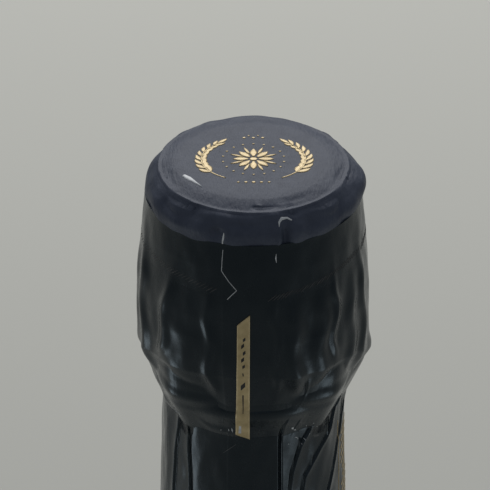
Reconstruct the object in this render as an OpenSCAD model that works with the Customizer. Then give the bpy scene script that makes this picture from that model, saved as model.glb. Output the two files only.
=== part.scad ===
// Champagne bottle with its cork, wire cage and foil capsule.
// Millimetres, +Z up. The origin is the centre of the ring that the bottle stands on.
// The front, with the tear strip, faces -Y.

/* [Bottle] */
// Height of the glass, from the table to the lip
bottle_h = 300; // [290:1:320]
// Diameter of the straight body
body_d = 88; // [84:0.5:96]
// Thickness of the body wall
wall = 3.4; // [2.5:0.1:4.5]
// Height where the straight body ends and the shoulder begins
shoulder_z = 138; // [120:1:160]
// Height where the shoulder has become the neck
neck_z = 252; // [240:1:260]
// Radius of the outer edge at the foot
heel_r = 6; // [4:0.5:9]
// Diameter of the hollow under the base
punt_d = 62; // [50:1:66]
// Height of the hollow under the base
punt_h = 34; // [20:1:40]
// Thickness of the glass over the hollow
base_t = 6; // [4:0.5:8]

/* [Neck] */
// Diameter of the bore that holds the cork
bore_d = 18; // [17:0.1:19]
// Diameter of the lip
lip_d = 28.6; // [28:0.1:29.5]
// Height of the lip
lip_h = 3.8; // [3:0.1:4.5]
// Depth of the waist between the lip and the ring
waist_depth = 0.6; // [0.3:0.1:1]
// Diameter of the ring that the wire cage hooks under
ring_d = 33.8; // [32:0.1:35]
// Distance from the lip down to the ring's lower side
ring_drop = 10; // [9:0.5:12]
// Height of the ring
ring_h = 4.2; // [3:0.1:5]
// Neck diameter just under the ring
neck_top_d = 29.4; // [28:0.1:30]
// Neck diameter where the shoulder begins
neck_base_d = 32.2; // [31:0.1:34]

/* [Cork] */
// Height of the cork's head above the lip
head_h = 24.8; // [20:0.1:28]
// Widest diameter of the head, just above the lip
head_d = 33.2; // [31:0.1:34]
// Diameter of the head at its top edge
head_top_d = 28.8; // [28:0.1:30]
// Length of the cork inside the bore
shank_l = 25; // [20:0.5:30]
// Thickness of each natural cork disc at the inner end
disc_t = 3; // [2:0.5:5]
// Running clearance between the cork and the bore, on the radius
cork_fit = 0.05; // [0.02:0.01:0.1]

/* [Wire cage] */
// Diameter of the wire
wire_d = 0.8; // [0.6:0.05:0.85]
// Clearance between the cage and what it passes
cage_gap = 0.3; // [0.2:0.05:0.5]
// Full turns in each twisted leg, before the last three quarters of a turn
leg_turns = 5; // [3:1:7]
// Thickness of the metal plate on the cork
plate_t = 0.3; // [0.2:0.05:0.5]
// Depth of the plate's turned-down edge
plate_skirt = 1.8; // [1:0.1:3]
// Height of the pressed dome of the plate
plate_dome = 0.4; // [0.2:0.1:0.8]
// Distance of the belt wire's middle below the ring
belt_drop = 1.8; // [1.6:0.1:2.5]
// Length of the twisted stem of the pull ring
pull_stem = 4; // [3:0.5:6]
// Outside width of the pull ring
pull_w = 7.2; // [6:0.1:8]
// Outside length of the pull ring's loop
pull_l = 11; // [9:0.5:13]

/* [Foil] */
// Thickness of the foil laminate
foil_t = 0.3; // [0.2:0.05:0.4]
// Clearance between the foil and the wire cage
foil_gap = 0.4; // [0.3:0.05:0.6]
// Clearance of foil that lies on glass or on foil
lap_gap = 0.05; // [0.03:0.01:0.1]
// Diameter of the flat of the top disc
disc_flat_d = 28; // [26:0.5:29]
// Depth of the top disc, from its flat to its lower edge
disc_h = 6.3; // [5:0.1:8]
// Distance from the top to the upper tear line
upper_tear = 14.4; // [12:0.1:18]
// Distance from the top to the lower tear line
lower_tear = 43.6; // [42:0.1:46]
// Height of the sleeve's lower edge above the table
sleeve_z = 212; // [180:1:230]
// Width of the tear strip
strip_w = 2.3; // [2:0.1:4]
// Length of the tear strip, up from the lower tear line
strip_l = 24; // [18:0.5:26]
// Thickness of the tear strip
strip_t = 0.2; // [0.15:0.05:0.3]
// How far round to the left of the front the strip lies, in degrees
strip_turn = 5.2; // [0:0.1:20]

/* [Labels] */
// Width of the front label, round the body
front_w = 96; // [70:1:110]
// Height of the front label
front_h = 72; // [50:1:80]
// Width of the back label, round the body
back_w = 62; // [40:1:80]
// Height of the back label
back_h = 50; // [30:1:70]
// Height of both labels' lower edges above the table
label_z = 44; // [30:1:50]
// Thickness of the label paper
label_t = 0.15; // [0.1:0.05:0.3]

/* [Hidden] */
$fn = 96;

curve_steps = 14;
wire_sides = 6;
rings_a_turn = 9;
body_r = body_d / 2;
bore_r = bore_d / 2;
ring_r = ring_d / 2;
wire_r = wire_d / 2;

// Heights up the neck
ring_z = bottle_h - ring_drop;
ring_top_z = ring_z + ring_h;
lip_z = bottle_h - lip_h;
neck_line_z = ring_z - 2;
edge_r = 0.9;
waist_r = lip_d / 2 - waist_depth;

// A cubic curve through two ends, drawn towards two handles, as a list of points
function bezier(a, b, c, d, steps = curve_steps) = [
    for (i = [0:steps])
        let (t = i / steps, u = 1 - t)
            u * u * u * a + 3 * u * u * t * b + 3 * u * t * t * c + t * t * t * d
];

// Points of a quarter or other arc about a centre
function arc(centre, r, from, to, steps = 6) = [
    for (i = [0:steps])
        let (a = from + (to - from) * i / steps) centre + r * [cos(a), sin(a)]
];

// Radius of the neck's outside at a height between the shoulder's end and the ring
function neck_r(z) = neck_base_d / 2
    + (neck_top_d - neck_base_d) / 2 * (z - neck_z) / (neck_line_z - neck_z);

// The shoulder's outline, or one that lies a distance inside it
shoulder = bezier(
    [body_r, shoulder_z],
    [body_r, shoulder_z + 0.42 * (neck_z - shoulder_z)],
    [neck_base_d / 2 + 3.4, neck_z - 0.40 * (neck_z - shoulder_z)],
    [neck_base_d / 2, neck_z]
);
bore_wide_r = bore_r + 0.7;
bore_top_z = bottle_h - shank_l - 2 * disc_t - 4;
inner_shoulder = bezier(
    [bore_wide_r, neck_z],
    [bore_wide_r + 2.6, neck_z - 0.42 * (neck_z - shoulder_z)],
    [body_r - wall, shoulder_z + 0.40 * (neck_z - shoulder_z)],
    [body_r - wall, shoulder_z]
);
foot_r = body_r - heel_r;
floor_z = punt_h + base_t;

module glass_bottle() {
    outside = concat(
        bezier([0, punt_h], [0.42 * punt_d / 2, punt_h],
            [0.86 * punt_d / 2, 0.45 * punt_h], [punt_d / 2, 0]),
        arc([foot_r, heel_r], heel_r, -90, 0),
        shoulder,
        [[neck_r(neck_line_z), neck_line_z]],
        arc([ring_r - edge_r, ring_z + edge_r], edge_r, -90, 0),
        arc([ring_r - edge_r, ring_top_z - edge_r], edge_r, 0, 90),
        [[waist_r, ring_top_z + 0.3], [waist_r, lip_z - 0.3]],
        arc([lip_d / 2 - edge_r, lip_z + edge_r], edge_r, -90, 0),
        arc([lip_d / 2 - edge_r, bottle_h - edge_r], edge_r, 0, 90)
    );
    inside = concat(
        [[bore_r + edge_r, bottle_h], [bore_r, bottle_h - edge_r], [bore_r, bore_top_z]],
        inner_shoulder,
        bezier([body_r - wall, 2.6 * wall + heel_r], [body_r - wall, 2.2 * wall],
            [punt_d / 2 + 3, 2.2 * wall], [punt_d / 2, 3.6 * wall]),
        bezier([punt_d / 2 - 0.6, 3.6 * wall + 1.4], [0.88 * punt_d / 2, floor_z - 8],
            [0.42 * punt_d / 2, floor_z], [0, floor_z])
    );
    color([0.10, 0.16, 0.09])
        rotate_extrude()
            polygon(concat(outside, inside));
}

// Cork. Heights h are above the lip
seat_h = 0.05;
full_h = 3;
brow_h = head_h - 2.6;
cork_r = bore_r - cork_fit;
disc_top_z = bottle_h - shank_l + 2 * disc_t;

// Radius of the head's side at a height above the lip
function head_r(h) = head_d / 2
    - (head_d - head_top_d) / 2 * (h - full_h) / (brow_h - full_h);

module cork_body() {
    color([0.80, 0.64, 0.43])
        rotate_extrude()
            polygon(concat(
                [[0, disc_top_z], [cork_r, disc_top_z], [cork_r, bottle_h + seat_h]],
                bezier([head_d / 2 - 2.4, bottle_h + seat_h], [head_d / 2 - 0.9, bottle_h + seat_h],
                    [head_d / 2, bottle_h + 1.2], [head_d / 2, bottle_h + full_h], 6),
                bezier([head_r(brow_h), bottle_h + brow_h],
                    [head_r(brow_h) - 0.2, bottle_h + head_h - 0.9],
                    [head_top_d / 2 - 0.9, bottle_h + head_h], [head_top_d / 2 - 1.9, bottle_h + head_h], 6),
                [[0, bottle_h + head_h]]
            ));
}

module cork_disc(level) {
    color([0.86, 0.72, 0.52])
        translate([0, 0, disc_top_z - level * disc_t])
            cylinder(r = cork_r, h = disc_t);
}

// Wire cage
plate_r = head_top_d / 2 + 0.35;
plate_z = bottle_h + head_h + lap_gap;
crown_r = plate_r + lap_gap + wire_r;
crown_z = plate_z - plate_skirt + wire_d;
leg_low_r = max(ring_r, head_d / 2) + cage_gap + wire_d;
belt_z = ring_z - belt_drop;
eyelet_r = wire_d + 0.1;
belt_r = leg_low_r - wire_d - 0.55;
leg_foot_z = ring_z + 0.4;

module cap_plate() {
    flat_r = plate_r - 4;
    color([0.72, 0.60, 0.30])
        rotate_extrude()
            polygon([
                [0, plate_z + plate_dome], [flat_r - 2, plate_z + plate_dome], [flat_r, plate_z],
                [plate_r - plate_t, plate_z], [plate_r - plate_t, plate_z - plate_skirt],
                [plate_r, plate_z - plate_skirt], [plate_r, plate_z + plate_t - 0.1],
                [plate_r - 0.1, plate_z + plate_t], [flat_r, plate_z + plate_t],
                [flat_r - 2, plate_z + plate_dome + plate_t], [0, plate_z + plate_dome + plate_t]
            ]);
}

module wire_ring(r, z) {
    color([0.70, 0.71, 0.72])
        translate([0, 0, z])
            rotate_extrude()
                translate([r, 0])
                    circle(r = wire_r, $fn = 32);
}

// A smooth line through points: the stretch between b and c, at t from 0 to 1
function through(a, b, c, d, t) = 0.5 * (2 * b + (c - a) * t
    + (2 * a - 5 * b + 4 * c - d) * t * t + (3 * b - a - 3 * c + d) * t * t * t);

function unit(v) = v / norm(v);

// A round wire of one unbroken length along a path, whose ring directions are set by a side axis
module wire(path, side) {
    n = len(path);
    rings = [
        for (i = [0:n - 1])
            let (
                t = unit(path[min(i + 1, n - 1)] - path[max(i - 1, 0)]),
                u = unit(cross(t, side)),
                v = cross(t, u)
            )
            for (k = [0:wire_sides - 1])
                let (a = 360 * k / wire_sides) path[i] + wire_r * (cos(a) * u + sin(a) * v)
    ];
    walls = [
        for (i = [0:n - 2], k = [0:wire_sides - 1])
            let (
                a = i * wire_sides + k,
                b = i * wire_sides + (k + 1) % wire_sides,
                c = a + wire_sides,
                d = b + wire_sides
            )
            each [[a, c, b], [b, c, d]]
    ];
    ends = [
        [for (k = [0:wire_sides - 1]) k],
        [for (k = [0:wire_sides - 1]) n * wire_sides - 1 - k]
    ];
    polyhedron(rings, concat(walls, ends));
}

strand_r = wire_r + 0.03;

// The leg's middle line, in the upright plane through the leg: distance out, then height
leg_line = [
    [crown_r + wire_d + lap_gap, crown_z - 0.4],
    [head_r(brow_h - 1.6) + cage_gap + wire_d, bottle_h + brow_h - 1.6],
    [head_r(0.5 * head_h) + cage_gap + wire_d, bottle_h + 0.5 * head_h],
    [leg_low_r, bottle_h + 2],
    [leg_low_r, leg_foot_z]
];

function leg_middle(s) =
    let (
        last = len(leg_line) - 1,
        i = min(floor(s * last), last - 1),
        a = leg_line[max(i - 1, 0)],
        d = leg_line[min(i + 2, last)]
    )
    through(a, leg_line[i], leg_line[i + 1], d, s * last - i);

// One strand of the twisted pair: side is 0 or 180 degrees
function leg_strand(side) =
    let (steps = round(rings_a_turn * (leg_turns + 0.75)))
    [
        for (i = [0:steps])
            let (
                s = i / steps,
                m = leg_middle(s),
                a = 90 + side + 360 * (leg_turns + 0.75) * s
            )
            [m[0] + strand_r * cos(a), strand_r * sin(a), m[1]]
    ];

// The eyelet goes round the belt wire from its outer side, below it, to its top
eyelet = [
    for (p = arc([belt_r, belt_z], eyelet_r, 20, -290, 11))
        [p[0], 0, p[1]]
];

module cage_leg(turn) {
    down = leg_strand(0);
    up = leg_strand(180);
    path = concat(down, eyelet, [for (i = [len(up) - 1:-1:0]) up[i]]);
    color([0.70, 0.71, 0.72])
        rotate([0, 0, turn])
            wire(path, [0, 1, 0]);
}

// The pull ring is folded up against the side, above its root at the belt
pull_x = leg_low_r;
pull_z = belt_z + 0.7;
pull_turns = 1;

function stem_strand(side) = [
    for (i = [0:rings_a_turn])
        let (a = 90 + side + 360 * pull_turns * i / rings_a_turn)
            [pull_x + strand_r * cos(a), strand_r * sin(a), pull_z + pull_stem * i / rings_a_turn]
];

module cage_pull_ring() {
    half_w = pull_w / 2 - wire_r;
    half_l = pull_l / 2 - wire_r;
    middle_z = pull_z + pull_stem + half_l + 0.4;
    loop = [
        for (i = [0:18])
            let (a = -72 + 324 * i / 18)
                [pull_x, half_w * cos(a), middle_z + half_l * sin(a)]
    ];
    down = stem_strand(180);
    path = concat(stem_strand(0), loop, [for (i = [len(down) - 1:-1:0]) down[i]]);
    color([0.70, 0.71, 0.72])
        wire(path, [1, 0, 0]);
}

// Foil. Radii are of its outer side, worked out from the cage that it covers
top_z = plate_z + plate_dome + plate_t + 0.25 + foil_t;
disc_z = top_z - disc_h;
upper_z = top_z - upper_tear;
lower_z = top_z - lower_tear;
over_leg = wire_d + foil_gap + foil_t;
bulge_r = leg_low_r + over_leg;

// Radius of the foil's outer side over the twisted legs, at a height above the lip
function over_head_r(h) = head_r(h) + cage_gap + wire_d + over_leg;

collar_top_r = over_head_r(disc_z - bottle_h) - 0.1;
disc_r = collar_top_r + foil_t + lap_gap;
upper_r = over_head_r(upper_z - bottle_h) - 0.1;
lower_r = neck_r(lower_z) + lap_gap + foil_t;

// A thin shell between an outer line of points and the same line moved in
module shell(line, t) {
    rotate_extrude()
        polygon(concat(line, [for (i = [len(line) - 1:-1:0]) line[i] - [t, 0]]));
}

module foil_top_disc() {
    flat_r = disc_flat_d / 2;
    bevel = bezier([flat_r, top_z], [flat_r + 2.5, top_z - 0.1], [disc_r, top_z - 1.5],
        [disc_r, top_z - 0.75 * disc_h], 8);
    inner = [for (i = [len(bevel) - 1:-1:0]) bevel[i] - [foil_t, foil_t]];
    color([0.05, 0.08, 0.16])
        rotate_extrude()
            polygon(concat([[0, top_z]], bevel,
                [[disc_r, disc_z], [disc_r - foil_t, disc_z]], inner, [[0, top_z - foil_t]]));
}

tuck = 1.2;

module foil_collar() {
    color([0.04, 0.06, 0.11])
        shell([[upper_r, upper_z + lap_gap], [collar_top_r, disc_z], [collar_top_r, disc_z + tuck]], foil_t);
}

// The band's side, from the upper tear line over the cork and the ring to the lower tear line
band_line = concat(
    bezier([upper_r, upper_z], [upper_r + 0.35, upper_z - 5], [bulge_r, bottle_h + 4],
        [bulge_r, bottle_h - 1], 8),
    bezier([bulge_r - 0.15, bottle_h - 5], [bulge_r, ring_z + 1.4],
        [bulge_r - 0.3, belt_z + 1], [bulge_r - 0.8, belt_z], 6),
    bezier([bulge_r - 1.6, belt_z - 1.4], [bulge_r - 2.4, belt_z - 2.8],
        [lower_r + 0.4, lower_z + 1.4], [lower_r + 0.15, lower_z + lap_gap], 6)
);

module foil_band() {
    color([0.04, 0.06, 0.11])
        shell(band_line, foil_t);
}

module foil_neck_sleeve() {
    hug = lap_gap + foil_t;
    neck = [for (p = shoulder) if (p[1] > sleeve_z + 1) p + [hug, 0]];
    first = [for (i = [0:curve_steps - 1]) if (shoulder[i][1] <= sleeve_z + 1) i];
    i = first[len(first) - 1];
    t = (sleeve_z - shoulder[i][1]) / (shoulder[i + 1][1] - shoulder[i][1]);
    edge = shoulder[i] + t * (shoulder[i + 1] - shoulder[i]) + [hug, 0];
    color([0.04, 0.06, 0.11])
        shell(concat([edge], neck, [[lower_r, lower_z]]), foil_t);
}

module tear_strip() {
    stand = lap_gap + 0.07 + strip_t;
    base_z = lower_z + 0.6;
    head_z = lower_z + strip_l;
    line = [for (p = band_line) if (p[1] > base_z && p[1] < head_z) p + [stand, 0]];
    spread = strip_w / (bulge_r + stand) * 180 / PI;
    top_line = [upper_r + (bulge_r - upper_r) * 0.72 + stand, head_z];
    foot = [lower_r + 0.45 + stand, base_z];
    outer = concat([top_line], line, [foot]);
    color([0.80, 0.66, 0.32])
        difference() {
            rotate([0, 0, -90 - strip_turn - spread / 2])
                rotate_extrude(angle = spread)
                    polygon(concat(outer, [for (i = [len(outer) - 1:-1:0]) outer[i] - [strip_t, 0]]));
            rotate([0, 0, -90 - strip_turn])
                translate([bulge_r, 0, head_z])
                    rotate([-45, 0, 0])
                        translate([0, 0, strip_w])
                            cube([8, 4 * strip_w, 2 * strip_w], center = true);
        }
}

module label(width, height, turn) {
    r = body_r + lap_gap + label_t;
    spread = width / r * 180 / PI;
    color([0.90, 0.87, 0.78])
        rotate([0, 0, turn - spread / 2])
            rotate_extrude(angle = spread)
                translate([r - label_t, label_z])
                    square([label_t, height]);
}

glass_bottle();
cork_body();
cork_disc(1);  // cork_disc_upper
cork_disc(2);  // cork_disc_lower
cap_plate();
wire_ring(crown_r, crown_z);  // cage_crown_wire
cage_leg(45);  // cage_leg_1
cage_leg(135);  // cage_leg_2
cage_leg(225);  // cage_leg_3
cage_leg(315);  // cage_leg_4
wire_ring(belt_r, belt_z);  // cage_belt_wire
cage_pull_ring();
foil_top_disc();
foil_collar();
foil_band();
foil_neck_sleeve();
tear_strip();
label(front_w, front_h, -90);  // front_label
label(back_w, back_h, 90);  // back_label
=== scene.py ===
# %% [markdown]
# # A sparkling wine bottle under its foil
#
# The photograph is a close view of the top of a bottle: a navy disc and a blue-black foil skirt that is
# gathered in soft pleats over the cork and its wire cage. This lesson dresses the imported frame. The glass,
# the cork and the wires keep their own solids; the foil is built here as thin closed
# shells whose radius is worked out by one function of the angle and the depth below the top.
#
# Angles are in degrees round the bottle's axis, 0 at the front and growing to the viewer's right. Depths
# and radii are in millimetres; they become metres only when a mesh is made.

# %% load the frame
import math
import bmesh
import bpy
import numpy as np
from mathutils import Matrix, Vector


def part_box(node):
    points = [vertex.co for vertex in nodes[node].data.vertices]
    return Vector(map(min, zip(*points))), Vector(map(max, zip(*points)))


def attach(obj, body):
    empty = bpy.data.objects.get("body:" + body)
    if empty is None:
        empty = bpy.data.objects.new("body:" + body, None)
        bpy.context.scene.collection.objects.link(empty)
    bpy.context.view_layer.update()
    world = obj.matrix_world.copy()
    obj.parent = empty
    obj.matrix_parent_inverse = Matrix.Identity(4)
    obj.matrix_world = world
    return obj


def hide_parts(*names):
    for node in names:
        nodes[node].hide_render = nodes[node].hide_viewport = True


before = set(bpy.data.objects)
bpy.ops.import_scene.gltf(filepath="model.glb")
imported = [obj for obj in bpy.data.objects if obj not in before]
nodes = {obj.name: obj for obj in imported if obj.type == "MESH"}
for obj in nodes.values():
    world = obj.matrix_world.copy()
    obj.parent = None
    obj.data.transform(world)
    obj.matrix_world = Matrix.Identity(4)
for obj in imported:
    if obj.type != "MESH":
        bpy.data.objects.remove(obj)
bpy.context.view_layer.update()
MM = 0.001
rng = np.random.default_rng(7)

# %% [markdown]
# ## Sizes taken from the frame
# The foil's levels come from the boxes of the solids that it replaces, so it stays where they are.

# %% sizes
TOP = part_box("foil_top_disc")[1].z / MM
DISC_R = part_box("foil_top_disc")[1].x / MM
DISC_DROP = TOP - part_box("foil_top_disc")[0].z / MM
UPPER_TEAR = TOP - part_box("foil_collar")[0].z / MM
LOWER_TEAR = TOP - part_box("foil_band")[0].z / MM
SLEEVE_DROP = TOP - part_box("foil_neck_sleeve")[0].z / MM
BULGE_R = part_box("foil_band")[1].x / MM
BODY_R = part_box("glass_bottle")[1].x / MM
FOIL_T = 0.15
LEG_ANGLES = (-135, -45, 45, 135)
PULL_ANGLE = 90
STRIP_ANGLE = -5.2
SEAM_ANGLE = -15.5
print("top", round(TOP, 1), "tears at", round(UPPER_TEAR, 1), round(LOWER_TEAR, 1), "bulge", round(BULGE_R, 2))

# %% [markdown]
# ## Small functions of an angle or a depth
# `near` is a bell curve, one at its centre. `turn` is the shortest way round between two angles. `step`
# rises smoothly from nought to one. `waves` adds a few cosines whose whole numbers of periods go once
# round the bottle, so that the foil closes on itself.

# %% small functions
def near(x, centre, width):
    return np.exp(-((x - centre) / width) ** 2)


def turn(angle, centre):
    return (angle - centre + 180.0) % 360.0 - 180.0


def step(x, low, high):
    t = np.clip((x - low) / (high - low), 0.0, 1.0)
    return t * t * (3.0 - 2.0 * t)


def line(x, points):
    xs, ys = zip(*points)
    return np.interp(x, xs, ys)


def waves(angle, depth, seed, low=3, high=12, count=8, period=26.0):
    """Sum of cosines of a whole number of periods round the bottle, each drifting with the depth."""
    r = np.random.default_rng(seed)
    total = np.zeros(np.broadcast(angle, depth).shape)
    for k in r.integers(low, high + 1, count):
        phase, drift = r.uniform(0, 2 * np.pi, 2)
        total = total + np.cos(np.radians(angle) * k + phase + 2 * np.pi * depth / period * (drift / np.pi - 1))
    return total / math.sqrt(count)


# %% [markdown]
# ## Where the foil lies
# The skirt's mean radius comes from the photograph's outline. Over the cork it swells, and at the depth
# `underside`, which changes round the bottle, it turns in under the cage and runs as a cone to the lower
# tear line, where it grips the neck. The lower of the two curves wins, with a rounded corner.

# %% what lies under the foil
def edge_ends(name):
    """The two ends, in millimetres, of every edge of a node's mesh."""
    mesh = nodes[name].data
    co = np.empty(len(mesh.vertices) * 3, np.float32)
    mesh.vertices.foreach_get("co", co)
    ends = np.empty(len(mesh.edges) * 2, np.int32)
    mesh.edges.foreach_get("vertices", ends)
    return co.reshape(-1, 3)[ends.reshape(-1, 2)] / MM


def widen(table, turns):
    """Each cell takes the greatest of itself and its neighbours; the first axis closes on itself."""
    for _ in range(turns):
        table = np.maximum.reduce([table, np.roll(table, 1, 0), np.roll(table, -1, 0)])
        table[:, 1:-1] = np.maximum.reduce([table[:, 1:-1], table[:, 2:], table[:, :-2]])
    return table


def drape(table, fall=0.165, rise=0.30, aside=0.16):
    """Foil can't follow a step: from each cell it falls by no more than a set amount to the next cell below,
    above or beside it, so that it hangs over the wires like a small tent."""
    for j in range(1, table.shape[1]):
        table[:, j] = np.maximum(table[:, j], table[:, j - 1] - fall)
    for j in range(table.shape[1] - 2, -1, -1):
        table[:, j] = np.maximum(table[:, j], table[:, j + 1] - rise)
    for _ in range(12):
        table = np.maximum.reduce([table, np.roll(table, 1, 0) - aside, np.roll(table, -1, 0) - aside])
    return table


def even_out(table):
    table = (2 * table + np.roll(table, 1, 0) + np.roll(table, -1, 0)) / 4
    table[:, 1:-1] = (2 * table[:, 1:-1] + table[:, 2:] + table[:, :-2]) / 4
    return table


COVERED = ["cap_plate", "cage_crown_wire", "cage_leg_1", "cage_leg_2", "cage_leg_3", "cage_leg_4", "cage_belt_wire",
           "cage_pull_ring", "cork_body"]
COVER_TURN, COVER_DROP = 2.0, 0.4


def cover_table(samples=6):
    """Greatest radius of the covered pieces by angle and depth, from points along all their edges, widened by
    a cell and draped, so that the foil keeps clear of them. Also their least depth by radius."""
    ends = np.concatenate([edge_ends(name) for name in COVERED])
    t = np.linspace(0, 1, samples)[:, None, None]
    points = (ends[:, 0] + t * (ends[:, 1] - ends[:, 0])).reshape(-1, 3)
    radius = np.hypot(points[:, 0], points[:, 1])
    angle = np.degrees(np.arctan2(points[:, 0], -points[:, 1])) + 180
    depth = TOP - points[:, 2]
    keep = (depth < 46) & (radius > 6)
    table = np.zeros((int(360 / COVER_TURN), 120))
    row = (angle[keep] / COVER_TURN).astype(int) % len(table)
    np.maximum.at(table, (row, (depth[keep] / COVER_DROP).astype(int)), radius[keep])
    lid = np.full(40, 9.0)
    np.minimum.at(lid, np.clip((radius / 0.5).astype(int), 0, 39), depth)
    lid = np.minimum.reduce([lid, np.append(lid[1:], 9.0), np.append(9.0, lid[:-1])])
    return even_out(even_out(drape(widen(table, 1)))), lid


COVER, LID = cover_table()


def cover(angle, depth):
    """The table above between its cells."""
    a, d = np.broadcast_arrays((angle + 180) / COVER_TURN - 0.5, np.clip(depth / COVER_DROP - 0.5, 0, 118.9))
    i, j = np.floor(a).astype(int), d.astype(int)
    u, v = a - i, d - j
    i0, i1 = i % len(COVER), (i + 1) % len(COVER)
    return ((1 - u) * (1 - v) * COVER[i0, j] + u * (1 - v) * COVER[i1, j] + (1 - u) * v * COVER[i0, j + 1]
            + u * v * COVER[i1, j + 1])


def at_least(value, floor, corner=0.06):
    """The greater of two values with a rounded change-over."""
    return floor + corner * np.logaddexp(0, (value - floor) / corner)


print("covered pieces reach", round(float(COVER.max()), 2), "mm from the axis")

# %% mean radius of the skirt
SWELL = ((0, 17.0), (6, 17.45), (10, 17.9), (14.4, 18.25), (19, 18.75), (23, 19.1), (27, 19.25), (31, 19.25),
         (36, 19.1), (50, 19.0))
NECK = ((40, 15.30), (43.6, 15.32), (46, 15.38), (52, 15.62), (63, 16.08), (74, 16.5))
PINCH_R = 15.3


def underside(angle):
    """Depth at which the swelling foil turns in: least in front, most at the right where the pull ring lies."""
    return (29.7 + 3.4 * near(turn(angle, -95), 0, 32) + 6.2 * near(turn(angle, 94), 0, 27)
            + 3.6 * near(turn(angle, 180), 0, 50))


def front_panel(angle):
    """One over the smooth front of the skirt, where no lobe bulges, and nought elsewhere."""
    return step(angle, -24, -17) * (1 - step(angle, 9, 14))


def neck_radius(depth):
    """Radius of the sleeve: the neck's straight taper, then the glass shoulder's own curve and a clearance."""
    return np.where(depth < 70, line(depth, NECK), np.interp(TOP - depth, GLASS_Z, GLASS_R) + 0.32)


def glass_outline(step_z=0.5):
    """Radius of the outside of the glass by height: at each level, the farthest point where an edge of its mesh
    crosses that level. The inner wall's edges lie nearer the axis, so they never win."""
    low, high = edge_ends("glass_bottle").transpose(1, 0, 2)
    levels = np.arange(TOP - SLEEVE_DROP - 4, TOP - 28, step_z)
    rise = high[:, 2] - low[:, 2]
    t = (levels[:, None] - low[:, 2]) / np.where(np.abs(rise) < 1e-6, 1e-6, rise)
    inside = (t >= 0) & (t <= 1)
    x = low[:, 0] + t * (high[:, 0] - low[:, 0])
    y = low[:, 1] + t * (high[:, 1] - low[:, 1])
    return levels, np.where(inside, np.hypot(x, y), 0).max(1)


GLASS_Z, GLASS_R = glass_outline()


def mean_radius(angle, depth):
    """The lower of the swell and the cone, joined by a rounded corner that is wider over the smooth front
    panel, and below the tear line the neck."""
    swell = line(depth, SWELL) - 0.30 * front_panel(angle) * step(depth, 14, 24)
    start = underside(angle)
    share = np.clip((depth - start) / (LOWER_TEAR - start), -0.6, 1.0)
    cone = 19.3 - (19.3 - PINCH_R) * np.sign(share) * np.abs(share) ** np.where(share > 0, 0.82, 1.0)
    corner = 0.16 + 0.45 * front_panel(angle)
    blend = -corner * np.logaddexp(-swell / corner, -cone / corner)
    return np.where(depth < LOWER_TEAR, blend, neck_radius(depth)) + neck_stand_off(angle, depth)


def neck_stand_off(angle, depth):
    """How far the gathered foil stands off the neck: more in front and behind than at its sides."""
    front = near(turn(angle, -8), 0, 46) + 0.8 * near(turn(angle, 180), 0, 50)
    return 0.34 * front * step(depth, 36, 43) * (1 - step(depth, 92, 110))


# %% [markdown]
# ## Pleats
# Each pleat is a ridge that runs down the skirt: the angle where it lies, its half width in degrees, how
# far it stands out, the depths between which it is full, and how far it leans over that length. Those in
# front are read from the photograph. The rest go round the back at uneven distances.

# %% pleats
PLEATS = [
    (-98, 6, 0.35, 16, 32, 3), (-84, 4, 0.36, 15, 32, 3), (-69, 4.2, 0.62, 13, 33, 5), (-47, 3.6, 0.60, 14, 27, -6),
    (-37, 9.5, 0.60, 19, 31.5, 2), (-22, 2.6, 0.30, 15, 31, 1), (10.5, 2.4, 0.26, 15, 30, 1),
    (20, 4.6, 0.58, 18, 31.5, 2), (35, 5.0, 0.62, 16, 31.5, -2), (43, 2.2, 0.40, 14, 26, -1),
    (57, 4.2, 0.42, 17, 33, -2), (69, 3.4, 0.60, 14, 34, 3), (90, 8, 0.34, 22, 37, 0),
]
back_angles = np.cumsum(rng.uniform(11, 19, 12)) + 97
PLEATS += [(a, rng.uniform(3.5, 6.5), rng.uniform(0.3, 0.55), rng.uniform(15, 19), rng.uniform(31, 35),
            rng.uniform(-4, 4)) for a in back_angles if a < 255]


def pleats(angle, depth):
    """Sum of the ridges. Each is a bell curve across, rises and falls slowly down its length, leans, and
    wavers from side to side by a degree or two."""
    total = np.zeros(np.broadcast(angle, depth).shape)
    for k, (where, half, height, first, last, lean) in enumerate(PLEATS):
        along = (depth - first) / (last - first)
        waver = 1.5 * np.sin(2 * np.pi * (depth / (9 + k % 4) + 0.37 * k)) * step(depth, first, first + 4)
        across = turn(angle, where + lean * (along - 0.5) + waver)
        total = total + height * near(across, 0, half) * step(depth, first - 5, first + 5) * (
            1 - step(depth, last - 0.5, last + 3.5))
    return total - 0.26 * step(depth, 16, 24) * (1 - step(depth, 30, 36))
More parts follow.
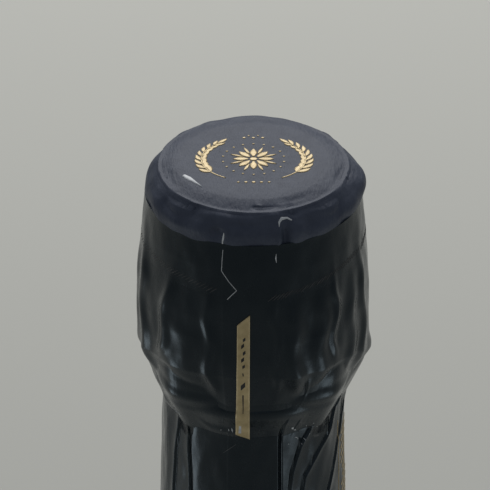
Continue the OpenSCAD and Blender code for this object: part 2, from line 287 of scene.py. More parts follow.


# %% [markdown]
# ## Creases
# Under the bulge the spare foil is pressed into sharp folds that run on down the neck. Each follows a
# drawn line of depth and angle. A fold stands up on one side of the line and is pinched in on the
# other, like the edge of a pleat that has been flattened.

# %% creases
CREASES = [
    (((31, -39), (33, -38.6), (37, -38), (41, -43.6), (45, -43.2), (49, -42.8), (58, -41), (112, -41)), 0.36, 0.34,
     -1, 33, 111, 1.5),
    (((30, 28), (34, 28.4), (37, 25.4), (39, 20.6), (41, 18.2), (45, 17.2), (112, 17.2)), 0.36, 0.40, 1, 31.5, 111,
     1.5),
    (((31, 30), (35.6, 32), (39.6, 29.4), (43, 25), (46, 22)), 0.30, 0.34, 1, 33, 45, 0.4),
    (((35, 62), (37, 59.6), (38, 44), (39, 35.6), (41, 31)), 0.45, 0.26, 1, 35, 44, 0.4),
    (((36, 62), (39.3, 51.2), (42.8, 40.8), (46.8, 30.2), (51.4, 24.4), (60, 21)), 0.42, 0.38, 1, 36, 60, 0.5),
    (((38, 76), (42.4, 64.2), (46.4, 56.6), (49.6, 44.2), (53.3, 33.6), (62, 28)), 0.42, 0.34, 1, 38, 66, 0.5),
    (((40, 92), (46, 80), (52, 66), (60, 52), (72, 46)), 0.45, 0.26, 1, 40, 84, 0.4),
    (((31, -45), (36, -44), (40, -46.5), (43.5, -52), (51.5, -56), (60, -57), (112, -58)), 0.40, 0.36, -1, 33, 104,
     0.4),
    (((33, -80), (37, -72), (43, -66), (52, -64)), 0.60, 0.24, 1, 33, 90, 0.5),
    (((34, 118), (40, 112), (60, 108)), 0.50, 0.34, 1, 34, 100, 0.8),
    (((34, 142), (40, 150), (60, 152)), 0.55, 0.36, -1, 34, 111, 0.8),
    (((34, 175), (40, 168), (60, 166)), 0.50, 0.34, 1, 34, 90, 0.8),
    (((34, -160), (40, -154), (60, -150)), 0.50, 0.36, 1, 34, 111, 0.8),
    (((34, -128), (40, -134), (60, -136)), 0.50, 0.34, -1, 34, 96, 0.8),
]
LOW_FOLD = ((-180, 43.2), (-60, 42.6), (-37, 40.4), (-26, 42.4), (-10, 42.6), (1, 41.4), (18, 40.2), (40, 42.5),
            (180, 43.2))


def creases(angle, depth):
    """Sum over the creases of a ridge, steep on one side, beside a narrow groove, faded out at both ends."""
    total = np.zeros(np.broadcast(angle, depth).shape)
    for route, width, height, side, first, last, cut in CREASES:
        away = side * np.radians(turn(angle, line(depth, route))) * 16.0
        ridge = np.where(away > 0, np.exp(-away / (3.0 * width)), np.exp(-(away / (0.45 * width)) ** 2))
        groove = near(away, -0.75 * width, 0.50 * width)
        ends = step(depth, first - 1.5, first + 4.5) * (1 - step(depth, last - 8, last))
        total = total + height * ends * (ridge - cut * groove)
    return total


# %% [markdown]
# ## The finished radius
# Besides pleats and creases, the foil shows the cage under it: a lump over each twisted leg's eyelet and a
# longer one over the pull ring. A last touch of slow waves keeps every stretch of the foil uneven.

# %% foil radius
def cage_lumps(angle, depth):
    """Soft swellings where the foil passes over a leg, its eyelet and the pull ring."""
    total = np.zeros(np.broadcast(angle, depth).shape)
    for leg in LEG_ANGLES:
        total = total + 0.18 * near(turn(angle, leg), 0, 5.5) * step(depth, 12, 18) * (1 - step(depth, 33, 37))
        total = total + 0.70 * near(turn(angle, leg), 0, 8.0) * near(depth, 37.2, 4.0)
    root = near(turn(angle, PULL_ANGLE), 0, 8) * near(depth, 35.4, 2.2)
    return total + 0.55 * root


def foil_radius(angle, depth):
    """Outer radius of the skirt, in millimetres, at an angle and a depth below the top."""
    over_cork = step(depth, 8, 20) * (1 - step(depth, 34, 44))
    ripple = 0.05 + 0.12 * over_cork + 0.03 * step(depth, 40, 48)
    soft = ripple * waves(angle, depth, 3, 4, 13, 9, 30) + 0.035 * waves(angle, depth, 5, 14, 34, 12, 9)
    fold = 0.14 * near(depth, line(angle, LOW_FOLD), 0.9)
    past_seam = turn(angle, SEAM_ANGLE)
    lap = 0.05 * step(past_seam, -0.3, 0.3) * np.exp(-np.maximum(past_seam, 0) / 7.0)
    r = mean_radius(angle, depth) + pleats(angle, depth) + creases(angle, depth)
    r = r + cage_lumps(angle, depth) + (soft + lap) * step(depth, 5, 9) + fold
    glass = np.interp(TOP - depth, GLASS_Z, GLASS_R)
    return at_least(r, np.maximum(cover(angle, depth), glass) + 0.24)


# %% [markdown]
# ## Shells and strips
# A foil piece is a closed sheet: rows of points up its outer side, then rows down its inner side. Rows are
# closed both ways, so the piece has no open edge. A strip is a narrow raised band that lies on a curved
# surface. It is used for cut edges, printed gold and slits, so that they are real forms, and for painted highlights.

# %% mesh makers
def column_angles(columns, front=110.0, finer=2.4):
    """Angles once round from the back, more of them in front, where the camera looks."""
    corners = np.array([-180.0, -front, front, 180.0])
    weight = np.concatenate([[0], np.cumsum(np.diff(corners) * np.array([1, finer, 1]))])
    return np.interp(np.arange(columns) * weight[-1] / columns, weight, corners)


def grid_faces(rows, columns, wrap_rows=False, wrap_columns=False):
    """Quads of a grid whose points are stored row by row, turned so that they face away from the axis."""
    i = np.arange(rows if wrap_rows else rows - 1)
    j = np.arange(columns if wrap_columns else columns - 1)
    i, j = np.meshgrid(i, j, indexing="ij")
    up, on = (i + 1) % rows, (j + 1) % columns
    return np.stack([i * columns + j, i * columns + on, up * columns + on, up * columns + j], -1).reshape(-1, 4)


def make_mesh(name, points, faces, materials, smooth=True, outward=False):
    """A new object at the origin. With outward, the faces of its closed shells are turned to point out."""
    mesh = bpy.data.meshes.new(name)
    mesh.from_pydata(np.asarray(points, float).reshape(-1, 3).tolist(), [], faces)
    if outward:
        shell = bmesh.new()
        shell.from_mesh(mesh)
        bmesh.ops.recalc_face_normals(shell, faces=shell.faces)
        shell.to_mesh(mesh)
        shell.free()
    mesh.polygons.foreach_set("use_smooth", [smooth] * len(mesh.polygons))
    for material in materials:
        mesh.materials.append(material)
    mesh.update()
    obj = bpy.data.objects.new(name, mesh)
    bpy.context.scene.collection.objects.link(obj)
    return obj


def on_bottle(angle, radius, depth):
    """Points in metres at an angle in degrees, a radius and a depth in millimetres."""
    a, radius, depth = np.broadcast_arrays(np.radians(angle), radius, depth)
    return np.stack([radius * np.sin(a), -radius * np.cos(a), TOP - depth], -1) * MM


def skirt(name, body, node, material, depths, columns=700, inner_rows=10):
    """A closed foil sheet between the first and last of its depths, which grow downward."""
    down = np.asarray(depths, float)
    down = np.concatenate([down[:1], down[:1] + 0.015, down[1:-1], down[-1:] - 0.015, down[-1:]])
    inside = np.interp(np.linspace(0, 1, inner_rows), np.linspace(0, 1, len(down)), down)
    angles = column_angles(columns)
    a_out, d_out = np.meshgrid(angles, down[::-1])
    a_in, d_in = np.meshgrid(angles, inside)
    rows = np.concatenate([on_bottle(a_out, foil_radius(a_out, d_out), d_out),
                           on_bottle(a_in, foil_radius(a_in, d_in) - FOIL_T, d_in)])
    obj = make_mesh(name, rows, grid_faces(len(rows), columns, True, True).tolist(), [material])
    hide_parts(node)
    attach(obj, body)
    return obj


# %% strips
def on_skirt(angle, depth, lift):
    return on_bottle(angle, foil_radius(angle, depth) + lift, depth)


def skirt_scale(angle, depth):
    return np.radians(foil_radius(angle, depth))


def strip(place, scale, middle, half, lift, thick=0.03, dome=0.0, fine=4):
    """A raised band along a middle line of two surface coordinates. At each station its points go across the
    top, which may be domed, and back underneath. `scale` is the millimetres in a unit of the first one."""
    mid = np.asarray(middle, float)
    t = np.linspace(0, 1, len(mid))
    u = np.linspace(0, 1, (len(mid) - 1) * fine + 1)
    a, b = np.interp(u, t, mid[:, 0]), np.interp(u, t, mid[:, 1])
    half = np.interp(u, np.linspace(0, 1, np.size(half)), np.ravel(half)) if np.size(half) > 1 else half
    k = scale(a, b)
    along_a, along_b = np.gradient(a) * k, np.gradient(b)
    size = np.hypot(along_a, along_b) + 1e-9
    across_a, across_b = -along_b / size / k * half, along_a / size * half
    top = [place(a + v * across_a, b + v * across_b, lift + dome * (1 - v * v)) for v in (-1, -0.5, 0, 0.5, 1)]
    low = [place(a + v * across_a, b + v * across_b, lift - thick) for v in (1, 0, -1)]
    return np.stack(top + low)


def panel(place, left, right, stations, across, lift, thick):
    """A sheet between two lines of surface coordinates, closed underneath, as one strip of points."""
    u = np.linspace(0, 1, stations)
    ends = []
    for edge in (left, right):
        edge = np.asarray(edge, float)
        t = np.linspace(0, 1, len(edge))
        ends.append((np.interp(u, t, edge[:, 0]), np.interp(u, t, edge[:, 1])))
    (la, lb), (ra, rb) = ends
    top = [place(la + v * (ra - la), lb + v * (rb - lb), lift) for v in np.linspace(0, 1, across)]
    low = [place(la + v * (ra - la), lb + v * (rb - lb), lift - thick) for v in (1, 0.5, 0)]
    return np.stack(top + low)


def join_strips(name, strips, material, body, closed=False, smooth=False):
    """One object out of many strips, each closed round its section and, unless it is a ring, capped."""
    points, faces, base = [], [], 0
    for s in strips:
        rows, columns = s.shape[:2]
        points.append(s.reshape(-1, 3))
        faces += (grid_faces(rows, columns, True, closed) + base).tolist()
        if not closed:
            first = np.arange(rows) * columns + base
            faces += [first.tolist(), (first[::-1] + columns - 1).tolist()]
        base += rows * columns
    obj = make_mesh(name, np.concatenate(points), faces, [material], smooth, outward=True)
    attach(obj, body)
    return obj


print("mesh makers ready")

# %% [markdown]
# ## Materials
# `shader` makes a material with its plain numbers set on the shader's own sockets. The helpers add a noise
# or a bump, always in object coordinates, so a pattern stays on the piece when it moves.

# %% material helpers
def shader(name, color, **sockets):
    mat = bpy.data.materials.new(name)
    mat.use_nodes = True
    bsdf = mat.node_tree.nodes["Principled BSDF"]
    bsdf.inputs["Base Color"].default_value = (*color, 1.0)
    for key, value in sockets.items():
        bsdf.inputs[key.replace("_", " ")].default_value = value
    return mat, mat.node_tree, bsdf


def noise(tree, scale, detail=2.0, stretch=(1, 1, 1), rough=0.5):
    coords = tree.nodes.new("ShaderNodeTexCoord")
    place = tree.nodes.new("ShaderNodeMapping")
    place.inputs["Scale"].default_value = stretch
    tex = tree.nodes.new("ShaderNodeTexNoise")
    tex.inputs["Scale"].default_value = scale
    tex.inputs["Detail"].default_value = detail
    tex.inputs["Roughness"].default_value = rough
    tree.links.new(coords.outputs["Object"], place.inputs["Vector"])
    tree.links.new(place.outputs["Vector"], tex.inputs["Vector"])
    return tex.outputs["Fac"]


def ramp(tree, source, stops):
    node = tree.nodes.new("ShaderNodeValToRGB")
    while len(node.color_ramp.elements) < len(stops):
        node.color_ramp.elements.new(0.5)
    for element, (where, color) in zip(node.color_ramp.elements, stops):
        element.position = where
        element.color = (*color, 1.0) if len(color) == 3 else color
    tree.links.new(source, node.inputs["Fac"])
    return node.outputs["Color"]


def bump(tree, source, distance, strength=1.0, below=None):
    node = tree.nodes.new("ShaderNodeBump")
    node.inputs["Distance"].default_value = distance
    node.inputs["Strength"].default_value = strength
    tree.links.new(source, node.inputs["Height"])
    if below is not None:
        tree.links.new(below, node.inputs["Normal"])
    return node.outputs["Normal"]


# %% materials of the foil
def make_skirt_foil():
    mat, tree, bsdf = shader("skirt_foil", (0.006, 0.010, 0.014), Roughness=0.26, IOR=1.45)
    bsdf.inputs["Specular IOR Level"].default_value = 0.50
    bsdf.inputs["Specular Tint"].default_value = (0.78, 0.93, 1.0, 1.0)
    cloudy = noise(tree, 260.0, 3.0)
    tree.links.new(ramp(tree, cloudy, [(0.3, (0.0055, 0.0090, 0.0130)), (0.7, (0.0085, 0.0125, 0.0170))]),
                   bsdf.inputs["Base Color"])
    scuffs = noise(tree, 900.0, 4.0, (1, 1, 0.35))
    tree.links.new(ramp(tree, scuffs, [(0.35, (0.20, 0.20, 0.20)), (0.75, (0.34, 0.34, 0.34))]),
                   bsdf.inputs["Roughness"])
    dimples = bump(tree, noise(tree, 420.0, 2.0, (1, 1, 0.5)), 0.00006)
    grain = bump(tree, noise(tree, 3400.0, 2.0), 0.000008, 1.0, dimples)
    tree.links.new(grain, bsdf.inputs["Normal"])
    return mat


def make_disc_foil():
    mat, tree, bsdf = shader("disc_foil", (0.075, 0.086, 0.115), Roughness=0.5, IOR=1.45)
    bsdf.inputs["Specular IOR Level"].default_value = 0.22
    worn = noise(tree, 420.0, 3.0, (1, 1, 1))
    tree.links.new(ramp(tree, worn, [(0.3, (0.058, 0.068, 0.096)), (0.7, (0.078, 0.090, 0.122))]),
                   bsdf.inputs["Base Color"])
    grain = noise(tree, 2100.0, 2.0, (1, 0.30, 0.45), 0.6)
    tree.links.new(bump(tree, grain, 0.00014, 0.9), bsdf.inputs["Normal"])
    return mat


def make_gold_print():
    mat, tree, bsdf = shader("gold_print", (0.60, 0.46, 0.24), Metallic=0.35, Roughness=0.42)
    tone = noise(tree, 700.0, 3.0)
    tree.links.new(ramp(tree, tone, [(0.3, (0.50, 0.38, 0.19)), (0.7, (0.66, 0.52, 0.28))]),
                   bsdf.inputs["Base Color"])
    tree.links.new(bump(tree, noise(tree, 2800.0, 2.0), 0.00001), bsdf.inputs["Normal"])
    return mat


# A pale grey metal colour: bare aluminium at cut edges, and the same grey for painted highlights on the disc and
# skirt.
def make_pale_mark(name, level):
    mat, tree, bsdf = shader(name, (0.70 * level,) * 3, Roughness=0.5)
    low, high = (0.50 * level, 0.51 * level, 0.51 * level), (0.78 * level, 0.79 * level, 0.78 * level)
    tree.links.new(ramp(tree, noise(tree, 1500.0, 2.0), [(0.3, low), (0.7, high)]), bsdf.inputs["Base Color"])
    return mat


def make_dark_ink():
    mat, tree, bsdf = shader("dark_ink", (0.012, 0.013, 0.016), Roughness=0.5)
    tree.links.new(ramp(tree, noise(tree, 1200.0, 2.0), [(0.3, (0.008, 0.009, 0.012)), (0.7, (0.03, 0.03, 0.03))]),
                   bsdf.inputs["Base Color"])
    return mat


SKIRT_FOIL, DISC_FOIL, GOLD, EDGE_AND_HIGHLIGHT, INK = (
    make_skirt_foil(), make_disc_foil(), make_gold_print(), make_pale_mark("bare_edge_and_highlight", 1.0), make_dark_ink())
# The brighter copy is the colour of a painted glint on the disc.
DULL_EDGE, PAINTED_GLINT = make_pale_mark("dull_edge", 0.16), make_pale_mark("painted_glint", 1.25)
print("foil materials ready")

# %% [markdown]
# ## Foil skirt
# Rows are closer together where the foil bends most. The collar ends at the upper tear line, the band at
# the lower one, and the sleeve goes on down the neck and over the start of the shoulder.

# %% foil skirt
collar = skirt("collar_foil", "foil_hood", "foil_collar", SKIRT_FOIL,
               np.linspace(DISC_DROP - 0.9, UPPER_TEAR - 0.005, 40))
band = skirt("band_foil", "foil_hood", "foil_band", SKIRT_FOIL,
             np.concatenate([np.linspace(UPPER_TEAR + 0.005, 28, 46), np.linspace(28.22, LOWER_TEAR - 0.01, 74)]))
sleeve = skirt("sleeve_foil", "bottle", "foil_neck_sleeve", SKIRT_FOIL,
               np.concatenate([np.linspace(LOWER_TEAR + 0.01, 66, 66), np.linspace(66.6, SLEEVE_DROP, 46)]))
print("skirt:", sum(len(o.data.polygons) for o in (collar, band, sleeve)), "quads")

# %% [markdown]
# ## Top disc
# The disc is a polar grid whose rows follow a profile from the middle, over the bevel and down to its
# lower edge. Dents are bell curves placed by angle and by distance along the profile. They push the foil
# along its own normal, so on the flat they go down and at the side they go in.

# %% disc profile and dents
DISC_PROFILE = ((0, 0), (6, 0.02), (11, 0.04), (12.2, 0.11), (13.0, 0.27), (13.8, 0.48), (14.6, 0.72), (15.4, 1.08),
                (16.2, 1.72), (16.95, 2.75), (17.32, 3.8), (17.44, 4.8), (17.36, 5.7), (17.26, 6.3))
DENTS = [
    (-51, 17.2, 5.5, 1.0, -0.50), (-44, 19.2, 9, 0.9, 0.40), (-37.6, 16.4, 5.0, 0.9, -0.42), (-64, 18.4, 7, 1.3, 0.3),
    (-29, 18.8, 5, 1.1, 0.40), (-19.6, 18.9, 3.6, 1.0, -0.75), (-17, 16.2, 12, 0.7, 0.28), (-14, 18.0, 3, 1.6, 0.30),
    (-3, 18.6, 8, 1.1, 0.30), (0.8, 14.0, 1.7, 0.34, -0.22), (2.8, 13.7, 2.0, 0.3, 0.12), (8, 14.2, 6, 0.3, -0.18),
    (9, 15.7, 8, 0.6, 0.26), (-4, 17.3, 8, 0.4, -0.20), (22.6, 15.2, 2.4, 0.9, -0.40), (16.6, 19.4, 2.3, 2.0, -0.9),
    (13.4, 19.0, 1.6, 1.8, 0.30), (23.5, 18.8, 4.5, 1.5, 0.50), (32, 18.0, 4, 0.9, -0.48), (41, 19.4, 5, 1.0, 0.32),
    (50, 17.2, 6, 1.0, -0.36), (63, 18.8, 7, 1.2, 0.38), (76, 14.6, 7, 0.9, -0.30), (86, 18.4, 14, 1.6, 0.75),
    (104, 17.0, 6, 1.1, -0.24), (126, 16.6, 11, 1.8, -0.50), (152, 16.2, 10, 1.6, 0.25), (180, 15.8, 22, 1.6, 0.50),
    (-118, 16.8, 9, 1.8, -0.50), (-150, 16.2, 10, 1.6, 0.30), (-88, 17.0, 6, 1.1, -0.22), (158, 19.2, 7, 1.2, 0.2),
    (-160, 19.0, 7, 1.2, -0.24), (-72, 20.2, 5, 0.8, -0.20), (54, 20.4, 5, 0.8, -0.20), (4, 20.6, 6, 0.6, -0.12),
    (-80, 14.2, 16, 0.8, -0.16), (30, 13.4, 10, 0.6, -0.12), (60, 15.4, 8, 0.7, 0.22), (-58, 15.2, 8, 0.7, 0.18),
]


def profile_curve():
    """The disc's profile made smooth: distance from the middle, radius, depth and outward direction."""
    p = np.asarray(DISC_PROFILE, float)
    run = np.concatenate([[0], np.cumsum(np.hypot(*np.diff(p, axis=0).T))])
    s = np.linspace(0, run[-1], 500)
    raw = np.stack([np.interp(s, run, p[:, 0]), np.interp(s, run, p[:, 1])])
    reach = 11
    weight = np.hanning(2 * reach + 1)
    soft = np.stack([np.convolve(row, weight / weight.sum(), "valid") for row in raw])
    raw[:, reach:-reach] = soft
    slope_r, slope_d = np.gradient(raw[0], s), np.gradient(raw[1], s)
    size = np.hypot(slope_r, slope_d)
    return s, raw[0], raw[1], slope_d / size, -slope_r / size


DISC_CURVE = profile_curve()
DISC_RUN = DISC_CURVE[0][-1]


def on_disc(angle, run, lift):
    """A point of the disc: the profile at a distance from the middle, pushed along its own normal by the dents,
    by a fine crinkle of the side, and by the lift."""
    s, r, d, out_r, out_d = DISC_CURVE
    push = np.zeros(np.broadcast(angle, run).shape) + lift
    for where, at, half, length, height in DENTS:
        push = push + height * near(turn(angle, where), 0, half) * near(run, at, length)
    push = push + 0.03 * waves(angle, run, 21, 9, 30, 12, 5) * step(run, 13, 16)
    push = push + 0.08 * waves(angle, run, 22, 2, 6, 6, 60) * step(run, 13.5, 19)
    edge = 0.22 * step(run, 20, 22) * waves(angle, 0.0, 23, 2, 7, 6)
    radius = np.interp(run, s, r) + push * np.interp(run, s, out_r)
    depth = np.interp(run, s, d) + push * np.interp(run, s, out_d) + edge
    lid = np.interp(radius, np.arange(len(LID)) * 0.5 + 0.25, LID) - 0.22
    depth = np.where(radius < 15.3, -at_least(-depth, -lid, 0.03), depth)
    radius = np.where(depth > 1.6, at_least(radius, cover(angle, depth) + 0.22), radius)
    return on_bottle(angle, radius, depth)


def disc_scale(angle, run):
    return np.radians(np.maximum(np.interp(run, DISC_CURVE[0], DISC_CURVE[1]), 0.3))


# %% top disc
def make_disc(columns=640, rows=124, inner_rows=20):
    angles = column_angles(columns, 100, 2.0)
    t = np.linspace(0, 1, rows)
    run = (DISC_RUN * (1 - (1 - t) ** 1.3))[1:]
    outer = on_disc(*np.meshgrid(angles, run[::-1]), 0.0)
    inner = on_disc(*np.meshgrid(angles, np.linspace(run[0], DISC_RUN, inner_rows)), -FOIL_T)
    top, under = len(outer) - 1, len(outer)
    ring = np.concatenate([outer, inner])
    faces = grid_faces(len(ring), columns, True, True)
    faces = np.delete(faces.reshape(len(ring), columns, 4), top, 0).reshape(-1, 4).tolist()
    here, after = np.arange(columns), (np.arange(columns) + 1) % columns
    middle = ring.shape[0] * columns
    faces += np.stack([top * columns + here, top * columns + after, np.full(columns, middle)], -1).tolist()
    faces += np.stack([under * columns + after, under * columns + here, np.full(columns, middle + 1)], -1).tolist()
    points = np.concatenate([ring.reshape(-1, 3), on_bottle(0.0, 0.0, np.array([0.0, FOIL_T]))])
    obj = make_mesh("disc_foil", points, faces, [DISC_FOIL])
    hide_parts("foil_top_disc")
    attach(obj, "foil_hood")
    return obj


disc = make_disc()
print("disc:", len(disc.data.polygons), "faces")

# %% [markdown]
# ## Cut edges and painted highlights
# The blue lacquer covers only the face of the foil, so a cut edge shows bare aluminium as a thin bright
# line, as down the lap where the skirt was joined. Round the disc's rim the line is drawn wider and brighter, a
# painted highlight along its lower edge; the white line on a fold of the bevel and the streak at the left of the flat
# are painted highlights. Each line is a narrow strip on the same surface functions, so it follows every dent.

# %% cut edges and painted highlights
# The rim line is partly the bare cut edge and partly a painted highlight: wider and brighter in front, where the lower
# edge catches the light.
rim_parts = []
for first, last, half in ((-96, -28, 0.085), (-29, 14.5, 0.11), (23, 50, 0.05), (58, 92, 0.06), (110, 160, 0.05),
                          (-170, -120, 0.05)):
    route = [(x, DISC_RUN - half - 0.02) for x in np.linspace(first, last, 40)]
    rim_parts.append(strip(on_disc, disc_scale, route, half, 0.05, 0.07))
rim_edge_and_highlight = join_strips("disc_rim_edge_and_highlight", rim_parts, EDGE_AND_HIGHLIGHT, "foil_hood")

# A painted highlight: a white line along the crest of the fold on the bevel.
fold_highlight = join_strips("disc_fold_highlight", [
    strip(on_disc, disc_scale, [(13.2, 17.6), (13.6, 16.9), (15.4, 16.4), (18.4, 16.4), (20.6, 16.9)],
          [0.05, 0.16, 0.22, 0.14, 0.10], 0.05, 0.06, 0.03)], EDGE_AND_HIGHLIGHT, "foil_hood", smooth=True)

lap_cut = join_strips("skirt_lap_edge", [
    strip(on_disc, disc_scale, [(-15.3, 18.6), (-15.6, 19.4), (-16, 20.2), (-16, 21.2)], [0.05, 0.16, 0.10, 0.08],
          0.04, 0.06),
    strip(on_skirt, skirt_scale, [(-15.7, 6.4), (-16.0, 8.2), (-16.1, 10.0), (-12.2, 11.8), (-8.4, 13.2),
                                  (-10.6, 14.0), (-13.0, 14.9)], 0.045, 0.03, 0.05),
    strip(on_skirt, skirt_scale, [(11.3, 6.9), (11.0, 7.6), (11.3, 8.4)], [0.03, 0.10, 0.03], 0.03, 0.05),
], EDGE_AND_HIGHLIGHT, "foil_hood")

# A painted highlight: a bright streak along the left of the flat's edge, where the lamp glints.
painted_glint_streak = join_strips("disc_painted_glint", [
    strip(on_disc, disc_scale, [(-65.5, 12.0), (-60, 11.75), (-54, 11.6), (-48, 11.6), (-43.5, 11.7)],
          [0.30, 0.46, 0.30, 0.16, 0.05], 0.03, 0.05, 0.10),
], PAINTED_GLINT, "foil_hood", smooth=True)
print("cut edges:", len(rim_parts), "rim lines, lap, fold and nick")

# %% [markdown]
# ## Perforated tear lines
# The upper tear line is a row of short slanted slits, some of them with a bare lip. It sits a little lower in
# front than at the sides. Small bright specks lie along the lower line; the two at the left are painted glints on a
# twisted fold.

# %% tear slits and bright specks
def tear_depth(angle):
    return UPPER_TEAR - 2.0 + 2.0 * near(turn(angle, 4), 0, 34)


slit_angles = np.concatenate([np.arange(9, 66, 2.1), np.arange(-62, -19, 2.1), np.arange(70, 296, 2.6)])
slits, lips = [], []
for k, a in enumerate(turn(slit_angles, 0)):
    reach = 1.15 + 0.25 * rng.uniform(-1, 1)
    d = tear_depth(a)
    route = [(a - 1.7 * reach, d + 0.42 * reach), (a, d), (a + 1.7 * reach, d - 0.42 * reach)]
    slits.append(strip(on_skirt, skirt_scale, route, [0.02, 0.075, 0.02], 0.02, 0.04))
    if rng.uniform() < 0.55:
        lips.append(strip(on_skirt, skirt_scale, [(x, y + 0.10) for x, y in route], [0.01, 0.022, 0.01], 0.03, 0.05))
join_strips("tear_slits", slits, INK, "foil_hood")
join_strips("tear_slit_lips", lips, DULL_EDGE, "foil_hood")


def bright_specks(name, body, places):
    """Small irregular bright spots: each a short strip, widest in the middle."""
    parts = [strip(on_skirt, skirt_scale, [(a, d - size), (a + 0.6 * lean, d), (a + lean, d + size)],
                   [0.02, width, 0.02], 0.03, 0.06, 0.02) for a, d, size, width, lean in places]
    return join_strips(name, parts, EDGE_AND_HIGHLIGHT, body)


# The two specks at -47.4 and -51.5 degrees are painted highlights: glints on the twisted fold over the left eyelet.
bright_specks("band_specks_and_glints", "foil_hood", [
    (-12.6, 41.9, 0.45, 0.13, 0.5), (-14.6, 42.0, 0.25, 0.07, 0.3), (-19.2, 42.3, 0.12, 0.06, 0), (23.2, 42.4, 0.30,
     0.22, 1.2), (24.6, 43.0, 0.16, 0.12, 2.0), (33.6, 43.1, 0.12, 0.06, 0.5), (38, 42.9, 0.10, 0.05, 0.5),
    (-47.4, 41.5, 0.50, 0.06, 2.4), (-51.5, 42.0, 0.35, 0.06, 2.0)])
bright_specks("sleeve_bright_specks", "bottle", [
    (25.8, 44.8, 0.20, 0.07, 2.2), (27.6, 45.2, 0.12, 0.05, 1.0), (32.2, 45.7, 0.16, 0.05, 1.0), (30.2, 46.4, 0.10, 0.05,
     0.6), (36.5, 45.0, 0.14, 0.05, -0.8), (41.5, 44.2, 0.12, 0.05, 0.8), (49.8, 44.3, 0.14, 0.05, 0.6),
    (21.6, 45.6, 0.10, 0.05, 0)])
join_strips("neck_scratch", [strip(on_skirt, skirt_scale, [(-18.4, 47.2), (-14.4, 46.1), (-10.2, 45.0)],
                                   [0.02, 0.045, 0.02], 0.03, 0.05)], DULL_EDGE, "bottle")
print("slits:", len(slits), "with", len(lips), "bare lips")

# %% [markdown]
# ## Gold print
# A plain rosette between two sprays of leaves, with dots, decorates the disc. Lozenges run down the tear
# strip, and a column of slanted bars down the side of the neck.

# %% ornament of the disc
def on_flat(x, y, lift):
    """A point on the disc's flat, x to the right and y to the back, both in millimetres."""
    run = np.hypot(x, y)
    return on_disc(np.degrees(np.arctan2(x, -y)), run, lift)


def flat_scale(x, y):
    return np.ones(np.broadcast(x, y).shape)


def petal(angle, inner, outer, half, bend=0.0, centre=(0.0, 0.0), lift=0.035, dome=0.07):
    """A pointed leaf on the flat: from an inner to an outer distance of a centre, with its tip bent aside."""
    t = np.linspace(0, 1, 7)
    turn_on = np.radians(angle + bend * t)
    far = inner + (outer - inner) * t
    route = np.stack([centre[0] + far * np.sin(turn_on), centre[1] + far * np.cos(turn_on)], -1)
    return strip(on_flat, flat_scale, route, half * np.sin(np.pi * np.clip(t, 0.06, 0.97)) ** 0.8, lift, 0.05, dome, 3)


def dot(x, y, radius, lift=0.035):
    t = np.linspace(-1, 1, 7)
    route = np.stack([x + radius * t, np.full(7, y)], -1)
    return strip(on_flat, flat_scale, route, radius * np.sqrt(np.clip(1 - t * t, 0.02, 1)), lift, 0.05, 0.06, 2)


def spray(side):
    """A curved stem with pairs of leaves that grow smaller towards its tip."""
    parts = []
    bend = np.radians(np.linspace(148, 34, 22))
    stem = np.stack([side * 8.3 * np.sin(bend), 6.9 * np.cos(bend)], -1)
    parts.append(strip(on_flat, flat_scale, stem, [0.13, 0.11, 0.07], 0.035, 0.05, 0.05, 2))
    for k in range(1, 9):
        x, y = stem[2 * k + 2]
        dx, dy = stem[2 * k + 3] - stem[2 * k + 1]
        ahead = np.degrees(np.arctan2(dx, dy))
        for lean, long in ((36, 2.6), (-36, 2.2)):
            parts.append(petal(ahead + lean, 0.12, long - 0.08 * k, 0.50 - 0.02 * k, -0.4 * lean, (x, y)))
    parts.append(petal(ahead, 0.9, 3.0, 0.40, 0, (x, y)))
    return parts


rosette = [petal(a, 0.8, 3.2, 0.60) for a in np.arange(0, 360, 45)]
rosette += [petal(a, 1.8, 3.9, 0.27) for a in np.arange(22.5, 360, 45)] + [dot(0, 0, 0.6)]
join_strips("disc_rosette", rosette, GOLD, "foil_hood", smooth=True)
join_strips("disc_sprays", spray(1) + spray(-1), GOLD, "foil_hood", smooth=True)
ring_dots = [dot(4.9 * math.sin(a), 4.9 * math.cos(a), 0.19) for a in np.radians(np.arange(0, 360, 20))]
ring_dots += [dot(x, 6.9, 0.26) for x in (-1.5, 0, 1.5)] + [dot(x, 7.6, 0.17) for x in (-0.75, 0.75)]
ring_dots += [dot(x, -7.2, 0.30 - 0.04 * abs(x)) for x in (-2.4, -1.2, 0, 1.2, 2.4)]
join_strips("disc_dots", ring_dots, GOLD, "foil_hood", smooth=True)
print("ornament:", len(rosette), "petals and", len(ring_dots), "dots")

# %% tear strip and its marks
strip_piece = join_strips("strip_band", [
    panel(on_skirt, [(-8.0, 19.4), (-8.1, 26), (-8.5, 32), (-9.3, 37), (-10.3, 42.6)],
          [(-1.8, 17.4), (-1.8, 25), (-1.9, 32), (-2.0, 38), (-2.1, 43.7)], 90, 9, 0.20, 0.14)],
    GOLD, "strip", smooth=True)
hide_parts("tear_strip")
marks = []
for d, size, aside in ((22.0, 0.50, 0.4), (23.2, 0.62, -0.3), (24.5, 0.55, 0.5), (25.8, 0.62, -0.2), (27.1, 0.50, 0.3),
                       (31.2, 1.05, 0.0)):
    middle = -4.9 - 0.03 * (d - 20) + aside
    marks.append(strip(on_skirt, skirt_scale, [(middle + 1.0 * size, d - 0.85 * size), (middle, d),
                                               (middle - 1.0 * size, d + 0.85 * size)],
                       [0.02, 0.26 * size + 0.10, 0.02], 0.215, 0.03))
marks.append(strip(on_skirt, skirt_scale, [(-5.2, 28.4), (-5.0, 29.0)], [0.10, 0.10], 0.215, 0.03))
marks.append(strip(on_skirt, skirt_scale, [(-5.3, 33.2), (-5.5, 37.4)], [0.12, 0.05], 0.215, 0.03))
join_strips("strip_lozenges", marks, INK, "strip")
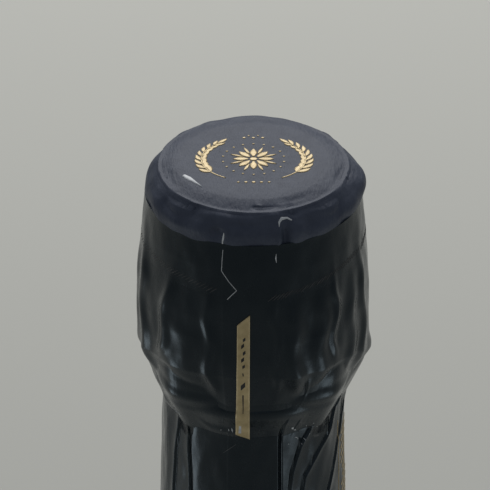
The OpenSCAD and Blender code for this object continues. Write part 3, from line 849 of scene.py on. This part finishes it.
join_strips("strip_patch", [strip(on_skirt, skirt_scale, [(-7.4, 40.4), (-7.7, 42.2)], [0.16, 0.24], 0.215, 0.03)],
            EDGE_AND_HIGHLIGHT, "strip")

# %% gold column of the neck
bars = []
for d in np.arange(50.2, 104, 1.55):
    middle = 79.0 - 0.06 * (d - 50)
    wide = 1.0 if int(d * 10) % 3 else 0.55
    bars.append(strip(on_skirt, skirt_scale, [(middle - 6.5 * wide, d + 0.9), (middle + 6.5 * wide, d - 0.9)],
                      0.26, 0.05, 0.05, 0.02, 8))
join_strips("neck_gold_bars", bars, GOLD, "bottle")
join_strips("neck_gold_line", [strip(on_skirt, skirt_scale, [(68.0, 47.5), (67.0, 106)], 0.09, 0.04, 0.05, 0.02, 60)],
            GOLD, "bottle")
print("gold column:", len(bars), "bars")

# %% [markdown]
# ## Camera, floor and light
# The camera looks down at the top from 320 mm away. It is set a little to the left, as the photograph's
# frame is, and its lens gives the same picture width.

# %% camera
TOP_PIXEL = (253.5, 159.0)
PIXELS_A_MM = 6.3
VIEW_DOWN = 29.8
DISTANCE = 320.0
FRAME_PIXELS = 490


def make_camera():
    focal = PIXELS_A_MM * DISTANCE
    lift = math.degrees(math.atan((FRAME_PIXELS / 2 - TOP_PIXEL[1]) / focal))
    pitch = math.radians(VIEW_DOWN + lift)
    aside = -(TOP_PIXEL[0] - FRAME_PIXELS / 2) / PIXELS_A_MM
    down = math.radians(VIEW_DOWN)
    data = bpy.data.cameras.new("camera")
    data.sensor_width = 36.0
    data.lens = 36.0 * focal / FRAME_PIXELS
    data.clip_start = 0.01
    data.clip_end = 20.0
    cam = bpy.data.objects.new("camera", data)
    cam.location = (aside * MM, -DISTANCE * math.cos(down) * MM, (TOP + DISTANCE * math.sin(down)) * MM)
    cam.rotation_euler = (math.pi / 2 - pitch, 0, 0)
    bpy.context.scene.collection.objects.link(cam)
    bpy.context.scene.camera = cam
    return cam


camera = make_camera()
print("camera at", [round(v, 3) for v in camera.location], "lens", round(camera.data.lens, 1))


# %% floor and light
def make_floor(size=6.0):
    """A plain pale floor, far enough across to fill the picture."""
    corners = [(-size, -size, 0), (size, -size, 0), (size, size, 0), (-size, size, 0)]
    mat, tree, bsdf = shader("floor", (0.52, 0.515, 0.465), Roughness=0.9)
    obj = make_mesh("floor", corners, [[0, 1, 2, 3]], [mat], smooth=False)
    return obj


def area_light(name, place, aim, size, power, color=(1, 1, 1)):
    """A rectangular lamp that looks from one place to another and is hidden from the camera."""
    data = bpy.data.lights.new(name, "AREA")
    data.shape = "RECTANGLE"
    data.size, data.size_y = size
    data.energy = power
    data.color = color
    obj = bpy.data.objects.new(name, data)
    obj.location = place
    obj.rotation_euler = (Vector(aim) - Vector(place)).to_track_quat("-Z", "Y").to_euler()
    obj.visible_camera = False
    bpy.context.scene.collection.objects.link(obj)
    return obj


def make_world(color, strength):
    world = bpy.data.worlds.new("studio")
    bpy.context.scene.world = world
    world.use_nodes = True
    back = world.node_tree.nodes["Background"]
    back.inputs["Color"].default_value = (*color, 1)
    back.inputs["Strength"].default_value = strength


make_floor()
make_world((0.80, 0.86, 0.95), 0.24)
area_light("back_window", (0.0, 1.3, 1.25), (0, 0.35, 0.1), (1.6, 0.9), 19.5, (0.99, 0.99, 1.0))
area_light("left_card", (-0.31, -0.04, 0.02), (-0.02, 0, 0.3), (0.13, 0.13), 0.10, (0.82, 0.92, 1.0))
area_light("right_card", (0.235, -0.13, 0.02), (0.02, 0, 0.3), (0.13, 0.13), 0.08, (0.82, 0.92, 1.0))
bpy.context.scene.view_settings.view_transform = "Standard"
print("floor and light ready")
